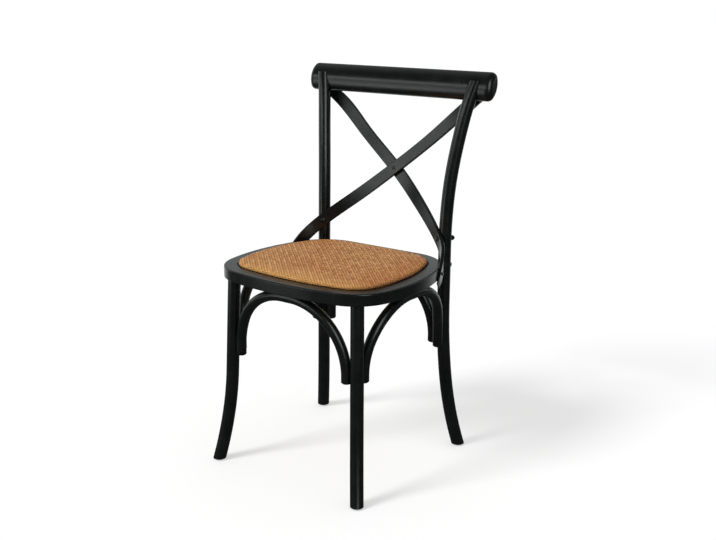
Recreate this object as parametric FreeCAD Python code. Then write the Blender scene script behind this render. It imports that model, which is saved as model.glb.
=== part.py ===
import FreeCAD, Part
import math
import os

# Cross back chair. Millimetres, +Z up, the chair faces -Y, left and right as seen from the front.
# The origin is the centre of the footprint on the floor.

V = FreeCAD.Vector

# Driving dimensions

rail_top = 879.0
rail_height = 65.5
rail_depth = 41.5
rail_length = 506.0
rail_brow = 14.5
rail_end_round = 14.0
rail_lean = 20.0
rail_set_back = 212.3
post_top_drop = 18.0

leg_dia = 29.0
post_dia = 29.4
brace_dia = 23.0

seat_top = 460.5
seat_thick = 26.0
seat_border = 29.0
seat_ring_width = 47.0
seat_front = -231.2
seat_front_corner = (122.0, -119.7, 100.0)
seat_back_corner = (98.0, 47.8, 112.0)
seat_side_radius = 420.0
seat_edge_round = 3.0
seat_edge_ease = 1.5

rebate_depth = 10.0
board_thick = 9.0
pad_edge_height = 7.0
pad_crown = 7.0
pad_roll = 5.0
pad_draw_in = 1.8
pad_crown_insets = (14.0, 26.0, 40.0, 54.0, 66.0)

brace_end_height = 258.5
brace_upright = 15.0
brace_shoulder = 0.5
brace_crown_half = 12.0
brace_end_ease = 2.5
front_brace_side = 183.6
rear_brace_side = 188.9
side_brace_front_side = 93.4
side_brace_rear_side = -86.7
front_arch_middle = -202.2
rear_arch_middle = 133.8
side_arch_middle = 199.0

strap_width = 29.0
strap_thick = 8.0
strap_edge = 1.6

glide_thick = 3.0
glide_dia = 20.0
glide_pin_dia = 3.0
glide_pin = 12.0

leg_dowel_dia = 12.0
leg_dowel_down = 18.0
leg_dowel_up = 14.5

wood_screw_head = (8.0, 3.0)
wood_screw_dia = 4.5
brace_screw_rise = 17.5
brace_screw_seat = 7.5
brace_leg_screw = 34.0
brace_seat_screw = 28.0
board_screw = 20.0
board_screw_inset = 38.0
board_screw_front_shift = 7.0
board_screw_side = 100.0

bolt_dia = 6.0
bolt_head = (13.0, 4.0)
cap_nut_wide = 11.0
cap_nut_hex = 5.0
cap_nut_bore = 8.0
post_spotface = 1.0
strap_spotface = 0.6
barrel_nut_dia = 10.0
barrel_nut_long = 16.0
barrel_nut_inset = 21.0
crest_screw = 38.0
crest_screw_head = (9.0, 3.0)
crest_screw_dia = 5.0
crest_screw_drop = 29.0
crest_screw_seat = 13.0
lap_screw = 15.6
lap_screw_head = (8.0, 2.6)
lap_screw_dia = 4.0
strap_tail_screw = 26.0
strap_tail_sink = 9.0

# Fits

seat_gap = 0.3
bore_gap = 0.3
board_gap = 0.5
pad_gap = 0.8

# Half width of the blocks that trim the rods, past the chair on every side

trim_reach = 700.0

# Centre lines of the bent members, right-hand side: (height, out from the middle, back),
# and the slopes at the foot, the top and where the upper bend of the post begins to open.
# Both members are straight between the points named straight.

front_leg_line = [(0.0, 198.5, -220.2), (220.0, 175.8, -189.7), (434.5, 170.2, -181.2)]
front_foot_slope = (-0.178, 0.228)
front_leg_straight = (1, 2)
rear_post_line = [
    (0.0, 205.6, 179.6),
    (350.0, 174.6, 147.4),
    (490.0, 173.8, 148.8),
    (690.0, 183.8, 164.4),
    (870.0, 216.0, 205.0),
]
rear_foot_slope = (-0.207, -0.221)
rear_opening_slope = (0.118, 0.154)
rear_top_slope = (0.298, 0.333)
rear_post_straight = (1, 2)
line_run_on = 40.0

# Cross strap centre line from the tail outside the seat to the tenon in the rail:
# (out, back, height, facing as a plan angle from straight ahead, facing up, share of the full section)
strap_line = [
    (211.4, 57.8, 424.0, -73.0, 0.0, 0.68),
    (206.6, 78.8, 446.5, -68.0, 0.0, 1.0),
    (195.2, 103.8, 474.0, -54.0, 0.02, 1.0),
    (183.4, 119.6, 491.0, -41.0, 0.03, 1.0),
    (165.3, 133.4, 510.0, -28.5, 0.0, 1.0),
    (100.0, 167.3, 564.5, -18.0, 0.20, 1.0),
    (0.0, 201.3, 644.0, 0.0, 0.30, 1.0),
    (-100.0, 214.2, 728.0, 0.0, 0.26, 1.0),
    (-190.0, 217.3, 807.0, 0.0, 0.18, 1.0),
    (-214.0, 218.2, 828.0, 0.0, 0.16, 1.0),
]
strap_screw_station = 1
strap_bolt_station = 4
strap_lap_station = 6
strap_lap_half = 28.0
strap_lap_reach = 120.0
strap_lap_gap = 0.15

seat_bottom = seat_top - seat_thick


# Shape helpers

def curve_through(points):
    """Smooth curve through the given points."""
    curve = Part.BSplineCurve()
    curve.interpolate(points)
    return curve


def tangents(points):
    """Direction at each point of the smooth curve through them."""
    curve = curve_through(points)
    return [curve.tangent(curve.parameter(p))[0] for p in points]


def arc_from(start, along, end):
    """Arc that leaves its start in a direction and ends at a point."""
    chord = end - start
    side = along.cross(chord)
    if side.Length < 1e-6 * chord.Length:
        return Part.makeLine(start, end)
    side.normalize()
    inward = side.cross(along)
    radius = chord.dot(chord) / (2.0 * chord.dot(inward))
    centre = start + inward * radius
    middle = (start + end) * 0.5 - centre
    middle.normalize()
    return Part.Arc(start, centre + middle * radius, end).toShape()


def bend(start, leave, end, arrive, balance=1.0):
    """Two tangent arcs from a point and direction to another, in the given share to each other."""
    chord = end - start
    turn = 2.0 * balance * (1.0 - leave.dot(arrive))
    both = 2.0 * chord.dot(leave * balance + arrive)
    reach = 2.0 * chord.dot(chord) / (both + math.sqrt(both * both + 4.0 * turn * chord.dot(chord)))
    first = start + leave * (reach * balance)
    second = end - arrive * reach
    join = (first + second * balance) * (1.0 / (1.0 + balance))
    return [arc_from(start, leave, join), arc_from(end, arrive * -1.0, join)]


def rod(edges, dia):
    """Round rod bent along a chain of tangent arcs."""
    path = Part.Wire(Part.__sortEdges__(edges))
    start = edges[0].Vertexes[0].Point
    along = edges[0].tangentAt(edges[0].FirstParameter)
    section = Part.Face(Part.Wire(Part.Circle(start, along, dia / 2.0).toShape()))
    return path.makePipe(section)


def one(shape):
    """The single solid of a cut or shared shape, largest first."""
    return sorted(shape.Solids, key=lambda s: -s.Volume)[0]


def mirrored(shape):
    """The same part for the other side of the chair."""
    return shape.mirror(V(0, 0, 0), V(1, 0, 0))


def group(shapes):
    """Identical loose pieces kept as separate solids."""
    return Part.makeCompound(shapes)


def placed(shape, at, along):
    """Move a shape built along +Z so that it starts at a point and runs along a direction."""
    out = shape.copy()
    out.Placement = FreeCAD.Placement(at, FreeCAD.Rotation(V(0, 0, 1), along))
    return out


def bore(at, along, dia, length):
    """Round cutter starting at a point and running along a direction."""
    return placed(Part.makeCylinder(dia / 2.0, length), at, along)


def slab(low, high):
    """Wide block between two heights."""
    return Part.makeBox(2 * trim_reach, 2 * trim_reach, high - low, V(-trim_reach, -trim_reach, low))


def screw(head_dia, head_high, shank_dia, length):
    """Pan-head screw along -Z with its head seated at z = 0."""
    rim = head_high * 0.45
    head = Part.makeCylinder(head_dia / 2.0, rim)
    head = head.fuse(Part.makeCone(head_dia / 2.0, head_dia * 0.33, head_high - rim, V(0, 0, rim)))
    return head.fuse(Part.makeCylinder(shank_dia / 2.0, length, V(0, 0, -length))).removeSplitter()


# Seat outline as a chain of tangent arcs

def seat_outline(inset):
    """Closed outline parallel to the seat's edge, the given distance inside it."""
    ax, ay, ar = seat_front_corner
    bx, by, br = seat_back_corner
    rise = ay - seat_front
    front_radius = (ax * ax + rise * rise - ar * ar) / (2.0 * (rise - ar))
    front_centre = V(0, seat_front + front_radius, 0)
    a = V(ax, ay, 0)
    b = V(bx, by, 0)
    step = b - a
    span = step.Length
    to_a = seat_side_radius - ar
    to_b = seat_side_radius - br
    run = (to_a ** 2 - to_b ** 2 + span ** 2) / (2.0 * span)
    off = math.sqrt(to_a ** 2 - run ** 2)
    unit = V(step.x / span, step.y / span, 0)
    side_centre = a + unit * run + V(-unit.y, unit.x, 0) * off

    def on(centre, radius, through):
        ray = through - centre
        ray.normalize()
        return centre + ray * (radius - inset)

    def arc(centre, radius, start, end):
        first = math.atan2((start - centre).y, (start - centre).x)
        last = math.atan2((end - centre).y, (end - centre).x)
        middle = (first + last) / 2.0
        reach = radius - inset
        return Part.Arc(start, centre + V(math.cos(middle), math.sin(middle), 0) * reach, end)

    nose = V(0, seat_front + inset, 0)
    join_a = on(front_centre, front_radius, a)
    join_b = on(side_centre, seat_side_radius, a)
    join_c = on(side_centre, seat_side_radius, b)
    join_d = V(bx, by + br - inset, 0)
    half = [
        arc(front_centre, front_radius, nose, join_a).toShape(),
        arc(a, ar, join_a, join_b).toShape(),
        arc(side_centre, seat_side_radius, join_b, join_c).toShape(),
        arc(b, br, join_c, join_d).toShape(),
        Part.makeLine(join_d, V(0, join_d.y, 0)),
    ]
    edges = half + [mirrored(e) for e in half]
    return Part.Wire(Part.__sortEdges__(edges))


def seat_plate(inset, low, high):
    """Plate with the seat's outline between two heights."""
    face = Part.Face(seat_outline(inset))
    face.translate(V(0, 0, low))
    return face.extrude(V(0, 0, high - low))


# Front legs and rear posts

def slope(out, back):
    """Upward direction with a slope outward and a slope backward."""
    ray = V(out, back, 1.0)
    ray.normalize()
    return ray


def leg_path(line, straight, slopes):
    """Centre line of a straight stretch and arcs, run on past the floor and past its top."""
    points = [V(out, back, height) for height, out, back in line]
    low, high = straight
    ray = points[high] - points[low]
    ray.normalize()
    directions = [slope(*s) if s else ray for s in slopes]
    edges = [Part.makeLine(points[0] - directions[0] * line_run_on, points[0])]
    for i in range(len(points) - 1):
        if i == low:
            edges.append(Part.makeLine(points[low], points[high]))
        else:
            edges += bend(points[i], directions[i], points[i + 1], directions[i + 1])
    edges.append(Part.makeLine(points[-1], points[-1] + directions[-1] * line_run_on))
    return edges


front_leg_path = leg_path(front_leg_line, front_leg_straight, [front_foot_slope, None, None])
rear_post_path = leg_path(rear_post_line, rear_post_straight,
                          [rear_foot_slope, None, None, rear_opening_slope, rear_top_slope])
post_top = rail_top - post_top_drop


def front_leg_blank(extra=0.0):
    body = rod(front_leg_path, leg_dia + 2.0 * extra)
    return one(body.common(slab(glide_thick, seat_bottom)))


def rear_post_blank(extra=0.0):
    body = rod(rear_post_path, post_dia + 2.0 * extra)
    return one(body.common(slab(glide_thick, post_top + extra)))


front_leg = front_leg_blank()
rear_post = rear_post_blank()
leg_seat = front_leg_blank(seat_gap)
post_seat = rear_post_blank(seat_gap)


def point_at_height(path, height, near=V(0, 0, 0)):
    """Point and upward direction of a centre line at a height, on its stretch nearest a point in plan."""
    spans = [e for e in path if min(v.Z for v in e.Vertexes) <= height <= max(v.Z for v in e.Vertexes)]
    edge = min(spans, key=lambda e: math.hypot(e.Vertexes[0].X - near.x, e.Vertexes[0].Y - near.y))
    low, high = edge.ParameterRange
    if edge.valueAt(low).z > edge.valueAt(high).z:
        low, high = high, low
    for _ in range(50):
        middle = (low + high) / 2.0
        if edge.valueAt(middle).z < height:
            low = middle
        else:
            high = middle
    along = edge.tangentAt(low)
    if along.z < 0:
        along = along * -1.0
    return edge.valueAt(low), along


# Crest rail: an oval bar with crowned, well rounded ends, leaning back with the posts

rail_lift = rail_height / 2.0 - rail_brow
rail_centre = V(0, rail_set_back, rail_top - rail_brow - rail_lift * math.cos(math.radians(rail_lean)))


def rail_section():
    """Oval of four tangent arcs across the rail, drawn on the plane x = 0."""
    tall = rail_height / 2.0
    deep = rail_depth / 2.0
    cheek = (rail_lift * rail_lift + deep * deep - rail_brow * rail_brow) / (2.0 * (deep - rail_brow))
    turn = math.atan2(rail_lift, cheek - deep)
    join_up = cheek * math.sin(turn)
    join_back = cheek * math.cos(turn) - (cheek - deep)

    def p(back, up):
        return V(0, back, up)

    edges = [
        Part.Arc(p(join_back, -join_up), p(deep, 0), p(join_back, join_up)),
        Part.Arc(p(join_back, join_up), p(0, tall), p(-join_back, join_up)),
        Part.Arc(p(-join_back, join_up), p(-deep, 0), p(-join_back, -join_up)),
        Part.Arc(p(-join_back, -join_up), p(0, -tall), p(join_back, -join_up)),
    ]
    return Part.Face(Part.Wire([e.toShape() for e in edges]))


def rail_bar():
    """Rail with both ends rounded over."""
    half = rail_length / 2.0
    section = rail_section()
    section.translate(V(-half, 0, 0))
    bar = section.extrude(V(rail_length, 0, 0))
    ends = [e for e in bar.Edges if e.BoundBox.XLength < 1e-6]
    bar = bar.makeFillet(rail_end_round, ends)
    bar.rotate(V(0, 0, 0), V(1, 0, 0), -rail_lean)
    bar.translate(rail_centre)
    return bar


crest_rail = rail_bar()


# Cross straps: flat bent ribbons

def strap_frames(lap):
    """Sections of a strap: centre, direction, facing, width and thickness."""
    points = [V(p[0], p[1], p[2]) for p in strap_line]
    frames = []
    for at, along, (_, _, _, plan, up, full) in zip(points, tangents(points), strap_line):
        angle = math.radians(plan)
        face = V(math.sin(angle), -math.cos(angle), up)
        face = face - along * face.dot(along)
        face.normalize()
        reach = min(1.0, max(0.0, (abs(at.x) - strap_lap_half) / (strap_lap_reach - strap_lap_half)))
        share = 0.5 * (1.0 + math.cos(math.pi * reach))
        at = at + face * (lap * share * (strap_thick / 2.0 + strap_lap_gap))
        frames.append((at, along, face, strap_width * full, strap_thick * full))
    return frames


def strap_section(frame, extra):
    """Rectangle with eased corners across the strap."""
    at, along, face, width, thick = frame
    across = along.cross(face)
    across.normalize()
    w = width / 2.0 + extra
    t = thick / 2.0 + extra
    e = strap_edge
    corners = [(w, t - e), (w - e, t), (e - w, t), (-w, t - e)]
    corners += [(-u, -v) for u, v in corners]
    return Part.makePolygon([at + across * u + face * v for u, v in corners + corners[:1]])


def strap_blank(lap, extra=0.0):
    """Strap lofted through its sections, optionally grown for cutting its seats."""
    sections = [strap_section(f, extra) for f in strap_frames(lap)]
    return Part.makeLoft(sections, True, False)


# Seat ring

seat_ring = seat_plate(0.0, seat_bottom, seat_top)
level = [e for e in seat_ring.Edges if e.BoundBox.ZLength < 1e-6]
seat_ring = seat_ring.makeFillet(seat_edge_round, [e for e in level if e.BoundBox.ZMin > seat_bottom + 1.0])
level = [e for e in seat_ring.Edges if e.BoundBox.ZMax < seat_bottom + 1e-6]
seat_ring = seat_ring.makeChamfer(seat_edge_ease, level)
seat_ring = seat_ring.cut(seat_plate(seat_ring_width, seat_bottom - 1.0, seat_top + 1.0))
seat_ring = seat_ring.cut(seat_plate(seat_border, seat_top - rebate_depth, seat_top + 1.0))

board_low = seat_top - rebate_depth
board_high = board_low + board_thick
seat_board = seat_plate(seat_border + board_gap, board_low, board_high)

# Woven pad: drawn in at the foot, rolled at the edge and crowned in the middle

pad_low = board_high + seat_gap
pad_rim = seat_top + pad_edge_height
pad_middle = (seat_front + seat_back_corner[1] + seat_back_corner[2]) / 2.0
pad_half = pad_middle - seat_front - seat_border - pad_gap


def pad_outline(inset, height):
    """Outline of the pad at a height, the given distance inside its widest line."""
    wire = seat_outline(seat_border + pad_gap + inset)
    wire.translate(V(0, 0, height))
    return wire


def pad_blank():
    """Pad drawn in at the foot, rolled over at the rim and crowned towards the middle."""
    wires = [pad_outline(pad_draw_in, pad_low), pad_outline(0.0, pad_low + pad_draw_in)]
    for turn in (0.0, 30.0, 60.0):
        roll = math.radians(turn)
        drop = pad_roll * (1.0 - math.sin(roll))
        wires.append(pad_outline(pad_roll * (1.0 - math.cos(roll)), pad_rim - drop))
    for inset in (pad_roll,) + pad_crown_insets:
        share = 1.0 - ((pad_half - inset) / (pad_half - pad_roll)) ** 2
        wires.append(pad_outline(inset, pad_rim + pad_crown * share))
    return Part.makeLoft(wires, True, True)


woven_pad = pad_blank()

# Bent braces: arches from leg to leg that pass under the seat

brace_top = seat_bottom - brace_dia / 2.0 - seat_gap


def beside(leg, dia, side):
    """Where a brace foot stands against a leg, on the side given as a plan angle."""
    at, _ = point_at_height(leg, brace_end_height + 1.5 * brace_upright)
    reach = (dia + brace_dia) / 2.0 + seat_gap
    turn = math.radians(side)
    return at.x + reach * math.cos(turn), at.y + reach * math.sin(turn)


def arch_path(start, end, middle_x, middle_y):
    """Arch on two short upright feet, two arcs to a side, level at its crown and bowed in plan towards it."""
    low = V(start[0], start[1], brace_end_height)
    far = V(end[0], end[1], brace_end_height)
    up = V(0, 0, 1)
    level = far - low
    level.normalize()
    crown = V(middle_x, middle_y, brace_top)
    before = crown - level * brace_crown_half
    after = crown + level * brace_crown_half
    edges = [Part.makeLine(low, low + up * brace_upright)]
    edges += bend(low + up * brace_upright, up, before, level, brace_shoulder)
    edges.append(Part.makeLine(before, after))
    edges += bend(after, level, far + up * brace_upright, up * -1.0, 1.0 / brace_shoulder)
    return edges + [Part.makeLine(far + up * brace_upright, far)]


front_brace_foot = beside(front_leg_path, leg_dia, front_brace_side)
rear_brace_foot = beside(rear_post_path, post_dia, rear_brace_side)
side_brace_front = beside(front_leg_path, leg_dia, side_brace_front_side)
side_brace_rear = beside(rear_post_path, post_dia, side_brace_rear_side)
side_middle_y = (side_brace_front[1] + side_brace_rear[1]) / 2.0

front_arch = arch_path(front_brace_foot, (-front_brace_foot[0], front_brace_foot[1]), 0.0, front_arch_middle)
rear_arch = arch_path(rear_brace_foot, (-rear_brace_foot[0], rear_brace_foot[1]), 0.0, rear_arch_middle)
side_arch = arch_path(side_brace_front, side_brace_rear, side_arch_middle, side_middle_y)


def brace(path):
    """Brace rod with its end edges eased."""
    body = rod(path, brace_dia)
    ends = [e for e in body.Edges if e.BoundBox.ZLength < 0.5 and e.BoundBox.ZMax < brace_end_height + 0.5]
    return body.makeChamfer(brace_end_ease, ends)


brace_front = brace(front_arch)
brace_rear = brace(rear_arch)
brace_right = brace(side_arch)

# Straps seated on the posts and round the seat edge

ring_guard = seat_plate(-seat_gap, seat_bottom - 60.0, seat_top + seat_gap)
strap_front = mirrored(strap_blank(1.0))
strap_rear = strap_blank(-1.0)
strap_rear = strap_rear.cut(ring_guard).cut(post_seat).cut(mirrored(post_seat))
strap_front = strap_front.cut(ring_guard).cut(post_seat).cut(mirrored(post_seat))
strap_rear = strap_rear.cut(strap_front)

seat_ring = seat_ring.cut(post_seat).cut(mirrored(post_seat))

crest_rail = crest_rail.cut(post_seat).cut(mirrored(post_seat))
crest_rail = crest_rail.cut(strap_blank(-1.0, seat_gap))
crest_rail = crest_rail.cut(mirrored(strap_blank(1.0, seat_gap)))

solids = {
    "crest_rail": crest_rail,
    "rear_post": rear_post,
    "front_leg": front_leg,
    "strap_front": strap_front,
    "strap_rear": strap_rear,
    "seat_ring": seat_ring,
    "seat_board": seat_board,
    "brace_front": brace_front,
    "brace_rear": brace_rear,
    "brace_right": brace_right,
}
cutters = {name: [] for name in solids}
both_sides = ("crest_rail", "seat_ring", "seat_board", "brace_front", "brace_rear")


def open_up(name, cutter, mirror=True):
    """Note a bore for a part, and its twin where the part spans both sides."""
    cutters[name].append(cutter)
    if mirror and name in both_sides:
        cutters[name].append(mirrored(cutter))


def fasten(first, others, at, along, head, dia, length, mirror=True):
    """Bore a line of parts for a screw whose head seats at a point, and return the screw."""
    hole = bore(at, along, dia + 2.0 * bore_gap, length + 0.4)
    open_up(first, hole, mirror)
    open_up(first, bore(at, along * -1.0, head[0] + 1.0, 14.0), mirror)
    for name in others:
        open_up(name, hole, mirror)
    return placed(screw(head[0], head[1], dia, length), at, along * -1.0)


def pair(shape):
    """A piece and its twin on the other side."""
    return [shape, mirrored(shape)]


# Foot glides nailed into the feet

glides = []
for name, leg in (("front_leg", front_leg_path), ("rear_post", rear_post_path)):
    at, along = point_at_height(leg, glide_thick)
    disc = Part.makeCylinder(glide_dia / 2.0, glide_thick, V(at.x, at.y, 0))
    disc = disc.makeChamfer(0.8, [e for e in disc.Edges if e.BoundBox.ZMax < 0.01])
    pin = bore(V(at.x, at.y, glide_thick - 0.5), V(0, 0, 1), glide_pin_dia, glide_pin + 0.5)
    glides += pair(one(disc.fuse(pin)))
    pin_foot = V(at.x, at.y, glide_thick - 1.0)
    open_up(name, bore(pin_foot, V(0, 0, 1), glide_pin_dia + 2.0 * bore_gap, glide_pin + 1.4))

# Dowels from the front legs into the seat ring

at, along = point_at_height(front_leg_path, seat_bottom)
dowel_foot = V(at.x, at.y, seat_bottom - leg_dowel_down)
dowel = Part.makeCylinder(leg_dowel_dia / 2.0, leg_dowel_down + leg_dowel_up)
dowel = dowel.makeChamfer(1.0, [e for e in dowel.Edges if e.BoundBox.ZLength < 1e-6])
dowel.translate(dowel_foot)
dowel_hole = bore(dowel_foot, V(0, 0, 1), leg_dowel_dia + 2.0 * bore_gap, leg_dowel_down + leg_dowel_up + 0.5)
open_up("front_leg", dowel_hole)
open_up("seat_ring", dowel_hole)

# Screws through the brace ends into the legs

brace_leg_screws = []
for arch, node, foot, leg_name, leg in (
    (front_arch, "brace_front", front_brace_foot, "front_leg", front_leg_path),
    (rear_arch, "brace_rear", rear_brace_foot, "rear_post", rear_post_path),
    (side_arch, "brace_right", side_brace_front, "front_leg", front_leg_path),
    (side_arch, "brace_right", side_brace_rear, "rear_post", rear_post_path),
):
    middle, _ = point_at_height(arch, brace_end_height + brace_screw_rise, V(foot[0], foot[1], 0))
    target, _ = point_at_height(leg, middle.z)
    along = V(target.x - middle.x, target.y - middle.y, 0)
    along.normalize()
    start = middle - along * brace_screw_seat
    foot_screw = fasten(node, [leg_name], start, along, wood_screw_head, wood_screw_dia, brace_leg_screw)
    brace_leg_screws += pair(foot_screw)

# A screw up through the crown of each brace into the seat ring

crowns = [V(0, front_arch_middle, 0), V(0, rear_arch_middle, 0), V(side_arch_middle, side_middle_y, 0)]
brace_seat_screws = []
for crown, node in zip(crowns, ("brace_front", "brace_rear", "brace_right")):
    at = crown + V(0, 0, brace_top - brace_screw_seat)
    screw_up = fasten(node, ["seat_ring"], at, V(0, 0, 1), wood_screw_head, wood_screw_dia, brace_seat_screw)
    brace_seat_screws += pair(screw_up) if crown.x else [screw_up]

# Cross screw through both straps

frames_front = strap_frames(1.0)
frames_plain = strap_frames(0.0)
at, along, face, width, thick = frames_front[strap_lap_station]
seat_at = at + face * (thick / 2.0 - strap_spotface)
lap_screws = fasten("strap_front", ["strap_rear"], seat_at, face * -1.0,
                    lap_screw_head, lap_screw_dia, lap_screw, False)

# Bolts through strap and post, with domed cap nuts behind


def bolt(length):
    """Mushroom-headed bolt along -Z with its head seated at z = 0."""
    wide = bolt_head[0] / 2.0
    rim = bolt_head[1] * 0.3
    cap = bolt_head[1] - rim
    dome_radius = (wide * wide + cap * cap) / (2.0 * cap)
    dome = Part.makeSphere(dome_radius, V(0, 0, bolt_head[1] - dome_radius))
    head = Part.makeCylinder(wide, bolt_head[1]).common(dome)
    return one(head.fuse(Part.makeCylinder(bolt_dia / 2.0, length, V(0, 0, -length))).removeSplitter())


def cap_nut():
    """Domed nut with a blind bore, its flat face at z = 0."""
    across = cap_nut_wide / math.sqrt(3.0)
    turns = [math.radians(60 * i) for i in range(7)]
    corners = [V(across * math.cos(a), across * math.sin(a), 0) for a in turns]
    body = Part.Face(Part.makePolygon(corners)).extrude(V(0, 0, cap_nut_hex))
    dome = Part.makeSphere(cap_nut_wide * 0.47, V(0, 0, cap_nut_hex))
    dome = dome.common(Part.makeCylinder(cap_nut_wide, 20.0, V(0, 0, cap_nut_hex - 0.5)))
    return one(body.fuse(dome).cut(Part.makeCylinder(bolt_dia / 2.0 + bore_gap, cap_nut_bore)))


at, along, face, width, thick = frames_plain[strap_bolt_station]
axis_point, post_along = point_at_height(rear_post_path, at.z)
seat_at = at + face * (thick / 2.0 - strap_spotface)
behind = (axis_point - seat_at).dot(face * -1.0)
rear_seat = seat_at - face * (behind + post_dia / 2.0 - post_spotface)
reach = (rear_seat - seat_at).Length + cap_nut_bore - 1.0
strap_bolts = pair(placed(bolt(reach), seat_at, face))
cap_nuts = pair(placed(cap_nut(), rear_seat, face * -1.0))
shank_hole = bore(seat_at, face * -1.0, bolt_dia + 2.0 * bore_gap, reach)
head_hole = bore(seat_at, face, bolt_head[0] + 1.0, 12.0)
open_up("rear_post", shank_hole)
open_up("rear_post", bore(rear_seat, face * -1.0, cap_nut_wide * 1.155 + 1.6, 12.0))
for name, side in (("strap_rear", 0), ("strap_front", 1)):
    for cutter in (shank_hole, head_hole):
        open_up(name, mirrored(cutter) if side else cutter)

# Screws through the strap tails into the edge of the seat ring

at, along, face, width, thick = frames_plain[strap_screw_station]
seat_at = at - face * (thick / 2.0 - strap_spotface)
tail_screw = screw(wood_screw_head[0], wood_screw_head[1], wood_screw_dia, strap_tail_screw)
tail_screw = placed(tail_screw, seat_at, face * -1.0)
tail_screws = pair(tail_screw)
tail_hole = bore(seat_at, face, wood_screw_dia + 2.0 * bore_gap, strap_tail_screw + 0.4)
tail_head = bore(seat_at, face * -1.0, strap_tail_sink, 12.0)
open_up("seat_ring", tail_hole)
for name, side in (("strap_rear", 0), ("strap_front", 1)):
    for cutter in (tail_hole, tail_head):
        open_up(name, mirrored(cutter) if side else cutter)

# Bolts from behind the posts into barrel nuts in the seat ring

middle_height = (seat_bottom + seat_top) / 2.0
axis_point, post_along = point_at_height(rear_post_path, middle_height)
inward = V(seat_back_corner[0] - axis_point.x, seat_back_corner[1] - axis_point.y, 0)
to_edge = inward.Length - seat_back_corner[2]
inward.normalize()
seat_at = axis_point - inward * (post_dia / 2.0 - post_spotface)
nut_at = axis_point + inward * (to_edge + barrel_nut_inset)
reach = (nut_at - seat_at).Length + 8.0
post_bolts = pair(placed(bolt(reach), seat_at, inward * -1.0))
post_hole = bore(seat_at, inward, bolt_dia + 2.0 * bore_gap, reach + 0.4)
open_up("rear_post", post_hole)
open_up("rear_post", bore(seat_at, inward * -1.0, bolt_head[0] + 1.0, 12.0))
open_up("seat_ring", post_hole)
nut_low = V(nut_at.x, nut_at.y, middle_height - barrel_nut_long / 2.0)
barrel_nut = bore(nut_low, V(0, 0, 1), barrel_nut_dia, barrel_nut_long).cut(post_hole)
barrel_nuts = pair(one(barrel_nut))
nut_hole = bore(V(nut_at.x, nut_at.y, seat_bottom - 1.0), V(0, 0, 1), barrel_nut_dia + 2.0 * bore_gap,
                nut_low.z + barrel_nut_long - seat_bottom + 1.0)
open_up("seat_ring", nut_hole)

# Screws from behind the rail into the post tops

axis_point, post_along = point_at_height(rear_post_path, rail_top - crest_screw_drop)
at = V(axis_point.x, rail_set_back + crest_screw_seat, rail_top - crest_screw_drop)
crest_screws = pair(fasten("crest_rail", ["rear_post"], at, V(0, -1, 0),
                           crest_screw_head, crest_screw_dia, crest_screw))

# Screws up through the ring's ledge into the seat board

board_screws = []
board_screw_front = seat_front + board_screw_front_shift + board_screw_inset
board_screw_back = seat_back_corner[1] + seat_back_corner[2] - board_screw_inset
for y in (board_screw_front, board_screw_back):
    at = V(board_screw_side, y, seat_bottom + wood_screw_head[1])
    ledge_screw = fasten("seat_ring", ["seat_board"], at, V(0, 0, 1),
                         wood_screw_head, wood_screw_dia, board_screw)
    board_screws += pair(ledge_screw)

for name, tools in cutters.items():
    if tools:
        solids[name] = one(solids[name].cut(tools))

right_post = solids.pop("rear_post")
right_leg = solids.pop("front_leg")
solids.update({
    "rear_post_left": mirrored(right_post),
    "rear_post_right": right_post,
    "front_leg_left": mirrored(right_leg),
    "front_leg_right": right_leg,
    "brace_left": mirrored(solids["brace_right"]),
    "woven_pad": woven_pad,
    "strap_lap_screw": lap_screws,
    "strap_post_bolts": group(strap_bolts),
    "strap_cap_nuts": group(cap_nuts),
    "strap_seat_screws": group(tail_screws),
    "post_seat_bolts": group(post_bolts),
    "post_barrel_nuts": group(barrel_nuts),
    "crest_screws": group(crest_screws),
    "brace_leg_screws": group(brace_leg_screws),
    "brace_seat_screws": group(brace_seat_screws),
    "leg_dowels": group(pair(dowel)),
    "board_screws": group(board_screws),
    "foot_glides": group(glides),
})

os.makedirs("parts", exist_ok=True)
for name, shape in solids.items():
    shape.exportStep("parts/" + name + ".step")
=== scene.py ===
import logging
import math
from dataclasses import dataclass, field
from enum import Enum
from typing import Protocol

import bmesh
import bpy
import numpy as np
from mathutils import Matrix, Vector


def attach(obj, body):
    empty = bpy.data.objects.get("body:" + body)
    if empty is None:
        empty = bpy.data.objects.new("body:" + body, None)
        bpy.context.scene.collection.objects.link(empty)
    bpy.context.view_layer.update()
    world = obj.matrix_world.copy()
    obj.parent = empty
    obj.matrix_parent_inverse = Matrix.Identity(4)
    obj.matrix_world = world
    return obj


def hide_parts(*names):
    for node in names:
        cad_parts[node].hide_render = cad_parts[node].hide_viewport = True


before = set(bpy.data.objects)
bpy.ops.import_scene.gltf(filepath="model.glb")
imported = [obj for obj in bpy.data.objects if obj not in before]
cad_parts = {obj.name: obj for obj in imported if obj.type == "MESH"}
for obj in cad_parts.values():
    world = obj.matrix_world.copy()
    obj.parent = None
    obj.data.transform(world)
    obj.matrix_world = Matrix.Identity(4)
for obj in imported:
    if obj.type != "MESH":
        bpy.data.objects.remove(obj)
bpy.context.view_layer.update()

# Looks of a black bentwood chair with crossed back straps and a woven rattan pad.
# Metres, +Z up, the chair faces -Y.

LOG = logging.getLogger("chair")

# Slack for rounding: of strands, of angles, of lengths, and for points that fall together
STRAND_SLACK = 1e-4
ANGLE_SLACK = 1e-9
LENGTH_SLACK = 1e-12
WELD = 1e-6

# Deeper than any point lies inside the seat's outline, until an arc of it is measured
FAR_INSIDE = 9.0

Colour = tuple[float, float, float]
Span = tuple[float, float]
Triple = tuple["Signal", "Signal", "Signal"]


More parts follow.
